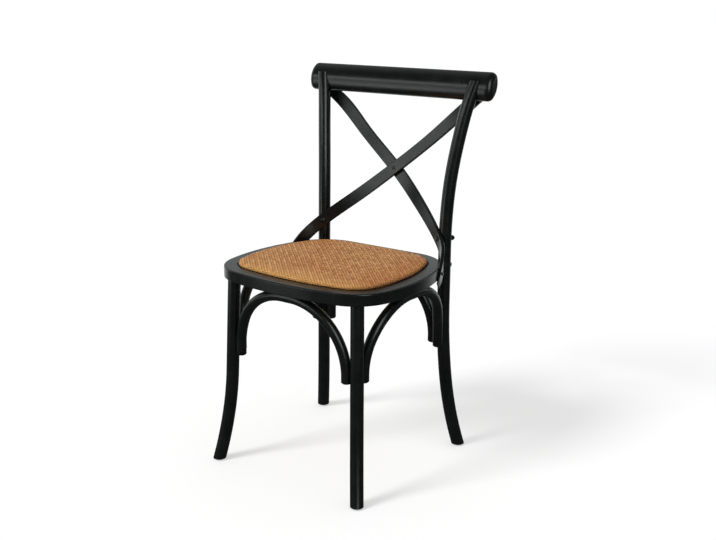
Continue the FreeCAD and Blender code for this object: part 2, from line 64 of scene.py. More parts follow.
def srgb(red: float, green: float, blue: float) -> Colour:
    """Turn a screen colour into the linear colour that shaders work with.

    Args:
        red: Red from 0 to 255.
        green: Green from 0 to 255.
        blue: Blue from 0 to 255.

    Returns:
        The linear red, green and blue.
    """
    def linear(value: float) -> float:
        """Linear share of one channel."""
        share = value / 255.0
        return share / 12.92 if share <= 0.04045 else ((share + 0.055) / 1.055) ** 2.4
    return (linear(red), linear(green), linear(blue))


def dimmed(colour: Colour, share: float) -> Colour:
    """A colour with each channel multiplied by the share."""
    return (share * colour[0], share * colour[1], share * colour[2])


# Shader arithmetic


class Signal:
    """A number that varies over a surface, so that shader maths reads as plain arithmetic."""

    def __init__(self, shader: "Shader", socket: bpy.types.NodeSocket) -> None:
        """Keep the socket and the shader that it belongs to."""
        self.shader = shader
        self.socket = socket

    def _math(self, operation: str, *terms: "Signal | float") -> "Signal":
        """Add one Math node on the given terms."""
        return self.shader.math(operation, *terms)

    def __add__(self, other: "Signal | float") -> "Signal":
        """Sum."""
        return self._math("ADD", self, other)

    def __radd__(self, other: float) -> "Signal":
        """Sum with a number on the left."""
        return self._math("ADD", other, self)

    def __sub__(self, other: "Signal | float") -> "Signal":
        """Difference."""
        return self._math("SUBTRACT", self, other)

    def __rsub__(self, other: float) -> "Signal":
        """Difference from a number on the left."""
        return self._math("SUBTRACT", other, self)

    def __mul__(self, other: "Signal | float") -> "Signal":
        """Product."""
        return self._math("MULTIPLY", self, other)

    def __rmul__(self, other: float) -> "Signal":
        """Product with a number on the left."""
        return self._math("MULTIPLY", other, self)

    def __truediv__(self, other: "Signal | float") -> "Signal":
        """Quotient."""
        return self._math("DIVIDE", self, other)

    def __mod__(self, other: float) -> "Signal":
        """Remainder that is never negative."""
        return self._math("FLOORED_MODULO", self, other)

    def below(self, limit: float) -> "Signal":
        """1 where the number is below the limit, else 0."""
        return self._math("LESS_THAN", self, limit)

    def floor(self) -> "Signal":
        """Whole number at or below."""
        return self._math("FLOOR", self)

    def fraction(self) -> "Signal":
        """What is left above the whole number."""
        return self._math("FRACT", self)

    def size(self) -> "Signal":
        """The number without its sign."""
        return self._math("ABSOLUTE", self)

    def sine(self) -> "Signal":
        """Sine of the number in radians."""
        return self._math("SINE", self)

    def ease(self, low: float, high: float) -> "Signal":
        """Smooth step from 0 at low to 1 at high.

        Args:
            low: Where the step starts.
            high: Where the step ends.

        Returns:
            The eased number.
        """
        node = self.shader.node("ShaderNodeMapRange", {"interpolation_type": "SMOOTHSTEP"},
                                {"Value": self, "From Min": low, "From Max": high})
        return Signal(self.shader, node.outputs["Result"])


class Shader:
    """The node tree of a material or of the studio's surroundings, built node by node."""

    def __init__(self, owner: bpy.types.Material | bpy.types.World) -> None:
        """Start an empty tree on its owner.

        Args:
            owner: The material or the surroundings that the tree belongs to.
        """
        self.owner = owner
        owner.use_nodes = True
        self.tree = owner.node_tree
        self.tree.nodes.clear()

    @classmethod
    def named(cls, name: str) -> "Shader":
        """Start an empty material with that name."""
        return cls(bpy.data.materials.new(name))

    def node(self, kind: str, settings: dict[str, object] | None = None,
             inputs: dict[str | int, object] | None = None) -> bpy.types.Node:
        """Add a node.

        Args:
            kind: The node's type name.
            settings: The node's own settings, and "stops" for a colour ramp.
            inputs: Value or link of each socket, by name or number.

        Returns:
            The new node.
        """
        made = self.tree.nodes.new(kind)
        for name, value in (settings or {}).items():
            if name == "stops":
                ramp = made.color_ramp.elements
                while len(ramp) < len(value):
                    ramp.new(0.5)
                for element, (place, colour) in zip(ramp, value):
                    element.position = place
                    element.color = (*colour, 1.0)
            else:
                setattr(made, name, value)
        for key, value in (inputs or {}).items():
            target = made.inputs[key]
            source = value.socket if isinstance(value, Signal) else value
            if isinstance(source, bpy.types.NodeSocket):
                self.tree.links.new(source, target)
            elif isinstance(source, tuple) and len(source) == 3 and target.type == "RGBA":
                target.default_value = (*source, 1.0)
            else:
                target.default_value = source
        return made

    def math(self, operation: str, *terms: Signal | float) -> Signal:
        """Add one Math node.

        Args:
            operation: The Math node's operation.
            terms: The numbers or signals that it works on.

        Returns:
            The result as a signal.
        """
        made = self.node("ShaderNodeMath", {"operation": operation}, dict(enumerate(terms)))
        return Signal(self, made.outputs[0])

    def mix(self, share: Signal, first: Colour | bpy.types.NodeSocket,
            second: Colour | bpy.types.NodeSocket) -> bpy.types.NodeSocket:
        """Blend two colours.

        Args:
            share: 0 gives the first colour and 1 the second.
            first: A colour or a colour socket.
            second: A colour or a colour socket.

        Returns:
            The blended colour's socket.
        """
        made = self.node("ShaderNodeMix", {"data_type": "RGBA"}, {0: share, 6: first, 7: second})
        return made.outputs[2]

    def ramp(self, share: Signal, stops: tuple[tuple[float, Colour], ...]) -> bpy.types.NodeSocket:
        """Colour ramp over a signal.

        Args:
            share: Place on the ramp.
            stops: Place and colour of each stop.

        Returns:
            The colour's socket.
        """
        return self.node("ShaderNodeValToRGB", {"stops": stops}, {0: share}).outputs[0]

    def split(self, vector: bpy.types.NodeSocket) -> Triple:
        """Take a vector apart into its three numbers."""
        parts = self.node("ShaderNodeSeparateXYZ", {}, {0: vector}).outputs
        return (Signal(self, parts[0]), Signal(self, parts[1]), Signal(self, parts[2]))

    def place(self) -> Triple:
        """Object coordinates, in metres."""
        return self.split(self.node("ShaderNodeTexCoord").outputs["Object"])

    def direction(self) -> Triple:
        """Direction that a ray leaves in, for the surroundings."""
        return self.split(self.node("ShaderNodeTexCoord").outputs["Generated"])

    def vector(self, x: Signal | float, y: Signal | float, z: Signal | float) -> bpy.types.NodeSocket:
        """Join three numbers into a vector."""
        return self.node("ShaderNodeCombineXYZ", {}, {0: x, 1: y, 2: z}).outputs[0]

    def longer(self, first: Signal | float, second: Signal | float) -> Signal:
        """The larger of two numbers."""
        return self.math("MAXIMUM", first, second)

    def reach(self, x: Signal, y: Signal) -> Signal:
        """Distance from the upright axis through the origin."""
        return self.math("SQRT", x * x + y * y)

    def degrees(self, operation: str, *terms: Signal | float) -> Signal:
        """Angle in degrees that an inverse trigonometric operation gives."""
        return self.math(operation, *terms) * math.degrees(1.0)

    def rays(self) -> tuple[Signal, Signal]:
        """Tell the kinds of light ray apart.

        Returns:
            1 where the camera looks straight at the surface, and 1 where gloss mirrors it.
        """
        path = self.node("ShaderNodeLightPath").outputs
        seen = self.longer(Signal(self, path["Is Camera Ray"]), Signal(self, path["Is Transmission Ray"]))
        return seen, Signal(self, path["Is Glossy Ray"]) * (1.0 - seen)

    def noise(self, at: bpy.types.NodeSocket, scale: float, detail: float = 2.0) -> Signal:
        """Cloudy noise.

        Args:
            at: Vector that the noise reads.
            scale: Clouds per metre.
            detail: How many finer layers it has.

        Returns:
            The noise, centred on 0.5.
        """
        made = self.node("ShaderNodeTexNoise", {}, {"Vector": at, "Scale": scale, "Detail": detail})
        return Signal(self, made.outputs[0])

    def tinted(self, level: Signal, tint: Colour) -> bpy.types.NodeSocket:
        """A tint at a brightness that varies."""
        scaled = self.node("ShaderNodeVectorMath", {"operation": "SCALE"}, {"Vector": tint, "Scale": level})
        return scaled.outputs[0]

    def speckle(self, first: Signal, second: Signal) -> Signal:
        """Random number from 0 to 1 for each pair of whole numbers."""
        spot = {"Vector": self.vector(first, second, 0.0)}
        return Signal(self, self.node("ShaderNodeTexWhiteNoise", {"noise_dimensions": "2D"}, spot).outputs[0])

    def bump(self, height: Signal, strength: float, distance: float) -> bpy.types.NodeSocket:
        """Relief from a height signal.

        Args:
            height: The height, from 0 to 1.
            strength: Share of the relief that shows.
            distance: Depth of the relief in metres.

        Returns:
            The normal's socket.
        """
        inputs = {"Strength": strength, "Distance": distance, "Height": height}
        return self.node("ShaderNodeBump", {}, inputs).outputs[0]

    def surface(self, constants: dict[str, float], **varying: object) -> bpy.types.Material:
        """Close the tree with a principled surface.

        Args:
            constants: Socket values that are the same all over.
            varying: What changes over the surface, by socket name with _ for a space.

        Returns:
            The finished material.
        """
        inputs = dict(constants)
        inputs.update({name.replace("_", " "): value for name, value in varying.items()})
        body = self.node("ShaderNodeBsdfPrincipled", {}, inputs)
        self.node("ShaderNodeOutputMaterial", {}, {0: body.outputs[0]})
        return self.owner


# Finishes


class Finish(Protocol):
    """Anything that can make a material."""

    def build(self) -> bpy.types.Material:
        """Make the material."""


class Grain(Enum):
    """Which way the wood runs in a member."""

    ACROSS = "across the chair"
    UPRIGHT = "up the chair"
    ROUND = "round the seat"


@dataclass(frozen=True)
class BlackLacquer:
    """Satin black lacquer that lets a faint open grain show."""

    grain: Grain
    colour: Colour = srgb(13, 14, 14)
    worn: Colour = srgb(19, 20, 19)
    roughness: float = 0.25
    gloss: float = 0.42
    clouds_per_metre: float = 26.0
    cloud_span: Span = (0.35, 0.75)
    cloud_sheen: float = 0.10
    pores_per_metre: float = 900.0
    pore_span: Span = (0.28, 0.62)
    pore_sheen: float = 0.08
    pore_relief: float = 0.35
    pore_depth: float = 0.00007
    along_share: float = 0.03
    round_share: float = 0.006

    def build(self) -> bpy.types.Material:
        """Make the material.

        Returns:
            The finished material.
        """
        shader = Shader.named("black_lacquer_" + self.grain.name.lower())
        x, y, z = shader.place()
        if self.grain is Grain.ACROSS:
            at = shader.vector(x * self.along_share, y, z)
        elif self.grain is Grain.UPRIGHT:
            at = shader.vector(x, y, z * self.along_share)
        else:
            at = shader.vector(shader.math("ARCTAN2", y, x) * self.round_share, shader.reach(x, y), z)
        pores = shader.noise(at, self.pores_per_metre, detail=3.0)
        clouds = shader.noise(shader.vector(x, y, z), self.clouds_per_metre, detail=3.0)
        colour = shader.mix(clouds.ease(*self.cloud_span), self.colour, self.worn)
        rough = self.roughness + (clouds - 0.5) * self.cloud_sheen + (pores - 0.5) * self.pore_sheen
        normal = shader.bump(pores.ease(*self.pore_span), self.pore_relief, self.pore_depth)
        return shader.surface({"Specular IOR Level": self.gloss},
                              Base_Color=colour, Roughness=rough, Normal=normal)


@dataclass(frozen=True)
class Rattan:
    """Flat rattan strands woven two over and two under, so the floats step in diagonals.

    The weave repeats after four strands. Warp strands lie on top in the cells whose column and row add up to
    less than warp_cells over a whole number of repeats, and the weft's floats start weft_lag cells later.
    """

    strand: float = 0.004
    repeat: float = 4.0
    warp_cells: float = 1.5
    weft_lag: float = 2.0
    weft_first: float = 731.0
    stops: tuple[tuple[float, Colour], ...] = (
        (0.0, srgb(164, 100, 54)),
        (0.35, srgb(202, 138, 82)),
        (0.7, srgb(224, 162, 102)),
        (1.0, srgb(242, 190, 122)),
    )
    # Painted shade: the colour that the gaps, the hollows and the warp strands are darkened toward
    painted_shade: Colour = srgb(84, 44, 20)
    # Amber: the tone of ripe clouds, and the painted shade toward +X
    amber: Colour = srgb(196, 116, 54)
    # Painted highlight: pale straw colour toward the front of the pad
    painted_highlight: Colour = srgb(238, 184, 108)
    float_tone: float = 0.75
    fibre_tone: float = 0.35
    patch_tone: float = 0.35
    tone_shift: float = 0.18
    fibre_grain: tuple[float, float, float] = (9.0, 0.55, 3.7)
    patches_per_metre: float = 22.0
    ripe_per_metre: float = 14.0
    ripe_stretch: float = 0.6
    ripe_place: float = 3.0
    ripe_span: Span = (0.52, 0.72)
    ripe_share: float = 0.35
    # Painted shade in amber toward +X, the side away from the key light
    shaded_side: Span = (0.10, 0.19)
    side_shade_share: float = 0.5
    # Painted highlight toward the front of the pad
    lit_front_span: Span = (0.12, 0.205)
    highlight_share: float = 0.5
    # Painted shade in the gaps along the strands' edges and in the hollows where they dip under
    edge_span: Span = (0.55, 1.0)
    edge_shade: float = 0.6
    hollow_span: Span = (0.35, 1.0)
    hollow_shade: float = 0.95
    # Painted shade: share by which the warp strands are drawn darker than the weft
    warp_painted_shade: float = 0.06
    gloss: float = 0.35
    roughness: float = 0.52
    groove_rough: float = 0.25
    fibre_sheen: float = 0.08
    edge_relief: float = 0.6
    arch_relief: float = 0.3
    fibre_relief: float = 0.1
    relief: float = 0.8
    relief_depth: float = 0.0006

    def _tone_and_painted_light(self, shader: Shader, colour: bpy.types.NodeSocket) -> bpy.types.NodeSocket:
        """Tint the strands over the whole seat, and paint light and shade on them.

        Args:
            shader: The material's shader.
            colour: The strands' own colours.

        Returns:
            The colours, more amber in clouds, with painted shade in amber toward +X and a painted highlight
            toward the front.
        """
        x, y, z = shader.place()
        at = shader.vector(x * self.ripe_stretch, y, z + self.ripe_place)
        clouds = shader.noise(at, self.ripe_per_metre)
        ripe_and_shade = clouds.ease(*self.ripe_span) * self.ripe_share
        # Painted shade: more amber toward +X, the side away from the key light
        ripe_and_shade = shader.longer(ripe_and_shade, x.ease(*self.shaded_side) * self.side_shade_share)
        colour = shader.mix(ripe_and_shade, colour, self.amber)
        # Painted highlight: paler toward the front of the pad, where the light falls
        front = (0.0 - y).ease(*self.lit_front_span)
        return shader.mix(front * self.highlight_share, colour, self.painted_highlight)

    def build(self) -> bpy.types.Material:
        """Make the material, which reads the pad's own weave map.

        Returns:
            The finished material.
        """
        shader = Shader.named("woven_rattan")
        sheet = shader.split(shader.node("ShaderNodeUVMap", {"uv_map": "weave"}).outputs[0])
        u = sheet[0] / self.strand
        v = sheet[1] / self.strand
        column = u.floor()
        row = v.floor()
        warp = ((column + row) % self.repeat).below(self.warp_cells)
        weft = 1.0 - warp
        across = warp * u.fraction() + weft * v.fraction()
        along = warp * v + weft * u
        strand = warp * column + weft * (row + self.weft_first)
        warp_run = v + column
        weft_run = u + row + self.weft_lag
        passed = warp * (warp_run % self.repeat) + weft * (weft_run % self.repeat)
        float_number = ((warp * warp_run + weft * weft_run) / self.repeat).floor()
        arch = (passed * (math.tau / self.repeat)).sine().size()
        # Masks of the gaps along strand edges and of the hollows where strands dip, for painted shade and for
        # roughness
        edge = ((across - 0.5).size() * 2.0).ease(*self.edge_span)
        hollow = (1.0 - arch).ease(*self.hollow_span)
        groove = shader.longer(edge * self.edge_shade, hollow * self.hollow_shade)
        thread = zip((across, along, strand), self.fibre_grain)
        fibre = shader.noise(shader.vector(*(place * share for place, share in thread)), 1.0, detail=4.0)
        patches = shader.noise(shader.vector(*shader.place()), self.patches_per_metre, detail=3.0)
        tone = shader.speckle(strand, float_number) * self.float_tone
        tone = tone + fibre * self.fibre_tone + patches * self.patch_tone - self.tone_shift
        colour = self._tone_and_painted_light(shader, shader.ramp(tone, self.stops))
        # Painted shade: the warp strands a little darker than the weft
        colour = shader.mix(warp * self.warp_painted_shade, colour, self.painted_shade)
        # Painted shade in the gaps and hollows
        colour = shader.mix(groove, colour, self.painted_shade)
        rough = self.roughness + groove * self.groove_rough - fibre * self.fibre_sheen
        height = (1.0 - edge) * self.edge_relief + arch * self.arch_relief + fibre * self.fibre_relief
        normal = shader.bump(height, self.relief, self.relief_depth)
        return shader.surface({"Specular IOR Level": self.gloss},
                              Base_Color=colour, Roughness=rough, Normal=normal)


@dataclass(frozen=True)
class BareWood:
    """Unfinished wood with growth rings or plies."""

    name: str
    light: Colour
    dark: Colour
    bands_per_metre: float
    stretch: tuple[float, float, float]
    band_span: Span = (0.3, 0.7)
    roughness: float = 0.6
    band_rough: float = 0.2
    relief: float = 0.2
    relief_depth: float = 0.0003

    def bands(self, shader: Shader) -> Signal:
        """Growth bands, long along the grain."""
        at = shader.vector(*(place * share for place, share in zip(shader.place(), self.stretch)))
        return shader.noise(at, self.bands_per_metre, detail=4.0)

    def figure(self, shader: Shader, bands: Signal) -> bpy.types.NodeSocket:
        """Colour of the growth bands."""
        return shader.mix(bands.ease(*self.band_span), self.light, self.dark)

    def finished(self, shader: Shader, bands: Signal, colour: bpy.types.NodeSocket) -> bpy.types.Material:
        """Close the material on a colour, with the relief of its bands."""
        return shader.surface({}, Base_Color=colour, Roughness=self.roughness + bands * self.band_rough,
                              Normal=shader.bump(bands, self.relief, self.relief_depth))

    def build(self) -> bpy.types.Material:
        """Make the material.

        Returns:
            The finished material.
        """
        shader = Shader.named(self.name)
        bands = self.bands(shader)
        return self.finished(shader, bands, self.figure(shader, bands))


BEECH = BareWood("raw_beech", srgb(206, 168, 124), srgb(176, 132, 92), 400.0, (1.0, 1.0, 0.06))
PLYWOOD = BareWood("board_plywood", srgb(198, 168, 126), srgb(168, 132, 90), 160.0, (0.06, 1.0, 1.0),
                   roughness=0.55)


@dataclass(frozen=True)
class StainedPlywood:
    """Plywood board, stained black on top so that it doesn't show round the pad."""

    bare: BareWood = PLYWOOD
    stain: Colour = srgb(16, 16, 16)
    stained_above: float = 0.4575
    stain_edge: float = 0.0008

    def build(self) -> bpy.types.Material:
        """Make the material.

        Returns:
            The finished material.
        """
        shader = Shader.named(self.bare.name)
        height = shader.place()[2]
        bands = self.bare.bands(shader)
        stained = height.ease(self.stained_above, self.stained_above + self.stain_edge)
        colour = shader.mix(stained, self.bare.figure(shader, bands), self.stain)
        return self.bare.finished(shader, bands, colour)


@dataclass(frozen=True)
class Metal:
    """Plated or blackened steel with fine handling marks."""

    name: str
    colour: Colour
    metallic: float
    roughness: float
    marks_per_metre: float = 1400.0
    mark_span: Span = (0.2, 0.9)
    mark_share: float = 0.7
    mark_rough: float = 0.16
    relief: float = 0.15
    relief_depth: float = 0.0001

    def build(self) -> bpy.types.Material:
        """Make the material.

        Returns:
            The finished material.
        """
        shader = Shader.named(self.name)
        marks = shader.noise(shader.vector(*shader.place()), self.marks_per_metre, detail=3.0)
        colour = shader.mix(marks.ease(*self.mark_span), self.colour, dimmed(self.colour, self.mark_share))
        rough = self.roughness + (marks - 0.5) * self.mark_rough
        return shader.surface({"Metallic": self.metallic}, Base_Color=colour, Roughness=rough,
                              Normal=shader.bump(marks, self.relief, self.relief_depth))


BLACK_STEEL = Metal("black_steel", srgb(42, 43, 43), metallic=0.6, roughness=0.3)
ZINC_STEEL = Metal("zinc_steel", srgb(196, 198, 200), metallic=1.0, roughness=0.3)


@dataclass(frozen=True)
class Nylon:
    """Moulded black nylon with a fine mould texture."""

    colour: Colour = srgb(30, 30, 31)
    pale_share: float = 1.3
    grains_per_metre: float = 2600.0
    roughness: float = 0.5
    grain_rough: float = 0.15
    relief: float = 0.3
    relief_depth: float = 0.0001

    def build(self) -> bpy.types.Material:
        """Make the material.

        Returns:
            The finished material.
        """
        shader = Shader.named("black_nylon")
        skin = shader.noise(shader.vector(*shader.place()), self.grains_per_metre)
        colour = shader.mix(skin, self.colour, dimmed(self.colour, self.pale_share))
        return shader.surface({}, Base_Color=colour, Roughness=self.roughness + skin * self.grain_rough,
                              Normal=shader.bump(skin, self.relief, self.relief_depth))


# Sub-assemblies


@dataclass
class SeatOutline:
    """Plan outline of the seat as tangent arcs, the same on both sides of the chair.

    The front is where the outline crosses the middle of the chair. A corner is the x and y of its centre, and
    its radius.
    """

    front: float = -0.2312
    front_corner: tuple[float, float, float] = (0.122, -0.1197, 0.100)
    back_corner: tuple[float, float, float] = (0.098, 0.0478, 0.112)
    side_radius: float = 0.420

    def arcs(self) -> list[tuple[float, float, float, float, float]]:
        """Work out the arcs of the right-hand side.

        Returns:
            Centre x, centre y, radius, first angle and last angle of each arc, front to back.
        """
        ax, ay, ar = self.front_corner
        bx, by, br = self.back_corner
        rise = ay - self.front
        reach = (ax * ax + rise * rise - ar * ar) / (2.0 * (rise - ar))
        nose = self.front + reach
        span = math.hypot(bx - ax, by - ay)
        ux, uy = (bx - ax) / span, (by - ay) / span
        run = ((self.side_radius - ar) ** 2 - (self.side_radius - br) ** 2 + span ** 2) / (2.0 * span)
        off = math.sqrt((self.side_radius - ar) ** 2 - run ** 2)
        cx, cy = ax + ux * run - uy * off, ay + uy * run + ux * off
        turn_a = math.atan2(ay - nose, ax)
        turn_b = math.atan2(ay - cy, ax - cx)
        turn_c = math.atan2(by - cy, bx - cx)
        return [
            (0.0, nose, reach, -math.pi / 2.0, turn_a),
            (ax, ay, ar, turn_a, turn_b),
            (cx, cy, self.side_radius, turn_b, turn_c),
            (bx, by, br, turn_c, math.pi / 2.0),
        ]

    def measure(self, points: np.ndarray) -> tuple[np.ndarray, np.ndarray]:
        """Measure how far points lie inside the outline.

        Args:
            points: Rows of x and y.

        Returns:
            The distance inside, and the outward direction at the nearest edge.
        """
        side = np.where(points[:, 0] < 0.0, -1.0, 1.0)
        right = points * np.stack([side, np.ones(len(points))], 1)
        back = self.back_corner[1] + self.back_corner[2]
        inside = np.where(right[:, 0] <= self.back_corner[0], back - right[:, 1], FAR_INSIDE)
        outward = np.tile([0.0, 1.0], (len(points), 1))
        for cx, cy, radius, first, last in self.arcs():
            ray = right - [cx, cy]
            length = np.linalg.norm(ray, axis=1) + LENGTH_SLACK
            angle = np.arctan2(ray[:, 1], ray[:, 0])
            depth = radius - length
            spanned = (angle >= first - ANGLE_SLACK) & (angle <= last + ANGLE_SLACK)
            better = spanned & (depth < inside)
            inside = np.where(better, depth, inside)
            outward = np.where(better[:, None], ray / length[:, None], outward)
        return inside, outward * np.stack([side, np.ones(len(points))], 1)


@dataclass
class WovenPad:
    """Thin padded seat in rattan, folded down over its rim and crowned in the middle.

    The pad keeps the inset all round from the seat's outline. The profile goes up the rim, in steps inward
    from the pad's edge and up from its foot. The crown fades out at crown_reach from its centre. The heights
    of troughs and seams are shares of the strands' relief.
    """

    outline: SeatOutline = field(default_factory=SeatOutline)
    finish: Rattan = field(default_factory=Rattan)
    cells_per_strand: float = 3.0
    half_size: float = 0.2
    middle: tuple[float, float] = (0.0, -0.036)
    inset: float = 0.0334
    foot: float = 0.4610
    crown: float = 0.0055
    crown_reach: float = 0.196
    crown_centre: float = -0.0302
    relief: float = 0.0007
    trough_height: float = 0.35
    seam_width: float = 0.05
    seam_height: float = 0.25
    relief_run: float = 1.6
    under_share: float = 0.97
    profile: tuple[tuple[float, float], ...] = (
        (0.0012, -0.0008),
        (0.0003, 0.0008),
        (0.0, 0.0028),
        (0.0005, 0.0048),
        (0.0020, 0.0064),
        (0.0048, 0.0075),
        (0.0090, 0.0080),
    )

    def _sheet(self) -> bmesh.types.BMesh:
        """Make the flat woven sheet, with its edge trimmed to the developed outline.

        Returns:
            The sheet, with its cells in line with the strands.
        """
        sheet = bmesh.new()
        cell = self.finish.strand / self.cells_per_strand
        cells = round(2.0 * self.half_size / cell)
        bmesh.ops.create_grid(sheet, x_segments=cells, y_segments=cells, size=self.half_size,
                              matrix=Matrix.Translation((*self.middle, 0.0)))
        centres = np.array([face.calc_center_median()[:2] for face in sheet.faces])
        inside, _ = self.outline.measure(centres)
        limit = self.inset - self._turned() - 0.5 * cell
        spare = [face for face, depth in zip(sheet.faces, inside) if depth < limit]
        bmesh.ops.delete(sheet, geom=spare, context="FACES")
        return sheet

    def _rolled(self) -> tuple[np.ndarray, np.ndarray]:
        """Follow the rim's profile up from its foot.

        Returns:
            The distance along the profile at each of its points, and the points.
        """
        points = np.array(self.profile)
        knots = np.concatenate([[0.0], np.cumsum(np.linalg.norm(np.diff(points, axis=0), axis=1))])
        return knots, points

    def _turned(self) -> float:
        """How much sheet the rim takes up beyond its plan width."""
        knots, points = self._rolled()
        return float(knots[-1] - points[-1, 0])

    def _weave(self, sheet: np.ndarray) -> np.ndarray:
        """Height of the strands over the sheet, from 0 to 1.

        Args:
            sheet: Rows of x and y on the flat sheet.

        Returns:
            The height at each point.
        """
        strand, repeat = self.finish.strand, self.finish.repeat
        u, v = sheet[:, 0] / strand, sheet[:, 1] / strand
        column, row = np.floor(u + STRAND_SLACK), np.floor(v + STRAND_SLACK)
        warp = np.mod(column + row, repeat) < self.finish.warp_cells
        across = np.where(warp, u - column, v - row)
        passed = np.mod(np.where(warp, v + column, u + row + self.finish.weft_lag), repeat)
        arch = np.abs(np.sin(passed * math.tau / repeat))
        height = self.trough_height + (1.0 - self.trough_height) * arch
        return height * np.where(np.abs(across) < self.seam_width, self.seam_height, 1.0)

    def _fold(self, sheet: np.ndarray) -> np.ndarray:
        """Fold the flat sheet into the pad's form.

        Args:
            sheet: Rows of x and y on the flat sheet.

        Returns:
            Rows of x, y and z on the pad.
        """
        inside, outward = self.outline.measure(sheet)
        knots, points = self._rolled()
        reach = np.maximum(inside - self.inset + self._turned(), 0.0)
        share = np.minimum(reach / knots[-1], 1.0)
        inward = np.interp(reach, knots, points[:, 0])
        lift = np.interp(reach, knots, points[:, 1])
        inward = np.where(reach >= knots[-1], inside - self.inset, inward)
        plan = sheet + outward * (inside - self.inset - inward)[:, None]
        far = (plan[:, 0] ** 2 + (plan[:, 1] - self.crown_centre) ** 2) / self.crown_reach ** 2
        ease = share * share * (3.0 - 2.0 * share)
        height = self.foot + lift + self.crown * np.maximum(1.0 - far, 0.0) * ease
        relief = self.relief * (self._weave(sheet) - 0.5) * np.minimum(share * self.relief_run, 1.0)
        tilt = 1.0 - share
        plan = plan + outward * (relief * tilt)[:, None]
        return np.column_stack([plan, height + relief * share])

    def _shape(self, mesh: bpy.types.Mesh) -> None:
        """Keep the flat places as the weave map, then fold the mesh.

        Args:
            mesh: The flat sheet, which takes the pad's form.
        """
        flat = np.empty(len(mesh.vertices) * 3)
        mesh.vertices.foreach_get("co", flat)
        flat = flat.reshape(-1, 3)[:, :2]
        corner = np.empty(len(mesh.loops), dtype=np.int32)
        mesh.loops.foreach_get("vertex_index", corner)
        mesh.uv_layers.new(name="weave").data.foreach_set("uv", flat[corner].ravel())
        mesh.vertices.foreach_set("co", self._fold(flat).ravel())

    def _close(self, sheet: bmesh.types.BMesh) -> None:
        """Turn the sheet's edge in under the pad and close the bottom.

        Args:
            sheet: The folded sheet.
        """
        rim = [edge for edge in sheet.edges if edge.is_boundary]
        turned = bmesh.ops.extrude_edge_only(sheet, edges=rim)["geom"]
        under = [item for item in turned if isinstance(item, bmesh.types.BMVert)]
        centre = Vector((0.0, self.crown_centre, self.foot))
        bmesh.ops.scale(sheet, vec=(self.under_share, self.under_share, 1.0),
                        space=Matrix.Translation(-centre), verts=under)
        loop = [item for item in turned if isinstance(item, bmesh.types.BMEdge) and item.is_boundary]
        bmesh.ops.holes_fill(sheet, edges=loop, sides=0)
        bmesh.ops.remove_doubles(sheet, verts=sheet.verts, dist=WELD)
        bmesh.ops.recalc_face_normals(sheet, faces=sheet.faces)
        for face in sheet.faces:
            face.smooth = True

    def build(self) -> bpy.types.Object:
        """Make the pad, closed underneath, with its weave map.

        Returns:
            The pad, riding on the chair.
        """
        sheet = self._sheet()
        mesh = bpy.data.meshes.new("woven_seat_pad")
        sheet.to_mesh(mesh)
        self._shape(mesh)
        sheet.clear()
        sheet.from_mesh(mesh)
        self._close(sheet)
        sheet.to_mesh(mesh)
        sheet.free()
        pad = bpy.data.objects.new("woven_seat_pad", mesh)
        bpy.context.scene.collection.objects.link(pad)
        mesh.materials.append(self.finish.build())
        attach(pad, "root")
        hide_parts("woven_pad")
        return pad


@dataclass
class ChairFrame:
    """The lacquered members, the board under the pad, the glides and the hardware."""

    upright: tuple[str, ...] = (
        "rear_post_left", "rear_post_right", "front_leg_left", "front_leg_right",
        "brace_front", "brace_rear", "brace_left", "brace_right",
    )
    across: tuple[str, ...] = ("crest_rail", "strap_front", "strap_rear")
    round_seat: tuple[str, ...] = ("seat_ring",)
    black_hardware: tuple[str, ...] = (
        "strap_lap_screw", "strap_post_bolts", "strap_cap_nuts", "strap_seat_screws",
        "post_seat_bolts", "crest_screws", "brace_leg_screws", "brace_seat_screws",
    )
    bright_hardware: tuple[str, ...] = ("post_barrel_nuts", "board_screws")

    def dress(self) -> list[str]:
        """Give every carried-over solid its finish.

        Returns:
            The names of the solids that were dressed.
        """
        plan: list[tuple[tuple[str, ...], Finish]] = [
            (self.upright, BlackLacquer(Grain.UPRIGHT)),
            (self.across, BlackLacquer(Grain.ACROSS)),
            (self.round_seat, BlackLacquer(Grain.ROUND)),
            (self.black_hardware, BLACK_STEEL),
            (self.bright_hardware, ZINC_STEEL),
            (("seat_board",), StainedPlywood()),
            (("leg_dowels",), BEECH),
            (("foot_glides",), Nylon()),
        ]
        dressed: list[str] = []
        for names, finish in plan:
            material = finish.build()
            for name in names:
                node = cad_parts[name]
                node.data.materials.clear()
                node.data.materials.append(material)
                dressed.append(name)
        return dressed


# Studio


@dataclass(frozen=True)
class SoftBox:
    """A pale panel in the dim half of the room, which only gloss shows.

    Angles are in degrees. The turn is from the chair's front, -Y, toward +X, and the rise is up from level.
    """

    turn: float
    half_width: float
    low: float
    high: float
    strength: float
    soft: float = 4.0

    def level(self, turn: Signal, rise: Signal) -> Signal:
        """Brightness of the panel in a direction.

        Args:
            turn: Turn of the direction in degrees.
            rise: Rise of the direction in degrees.

        Returns:
            The panel's strength inside it and 0 outside.
        """
        away = (turn - self.turn).size()
        side = 1.0 - away.ease(self.half_width - self.soft, self.half_width + self.soft)
        foot = rise.ease(self.low - self.soft, self.low + self.soft)
        head = 1.0 - rise.ease(self.high - self.soft, self.high + self.soft)
        return self.strength * side * foot * head


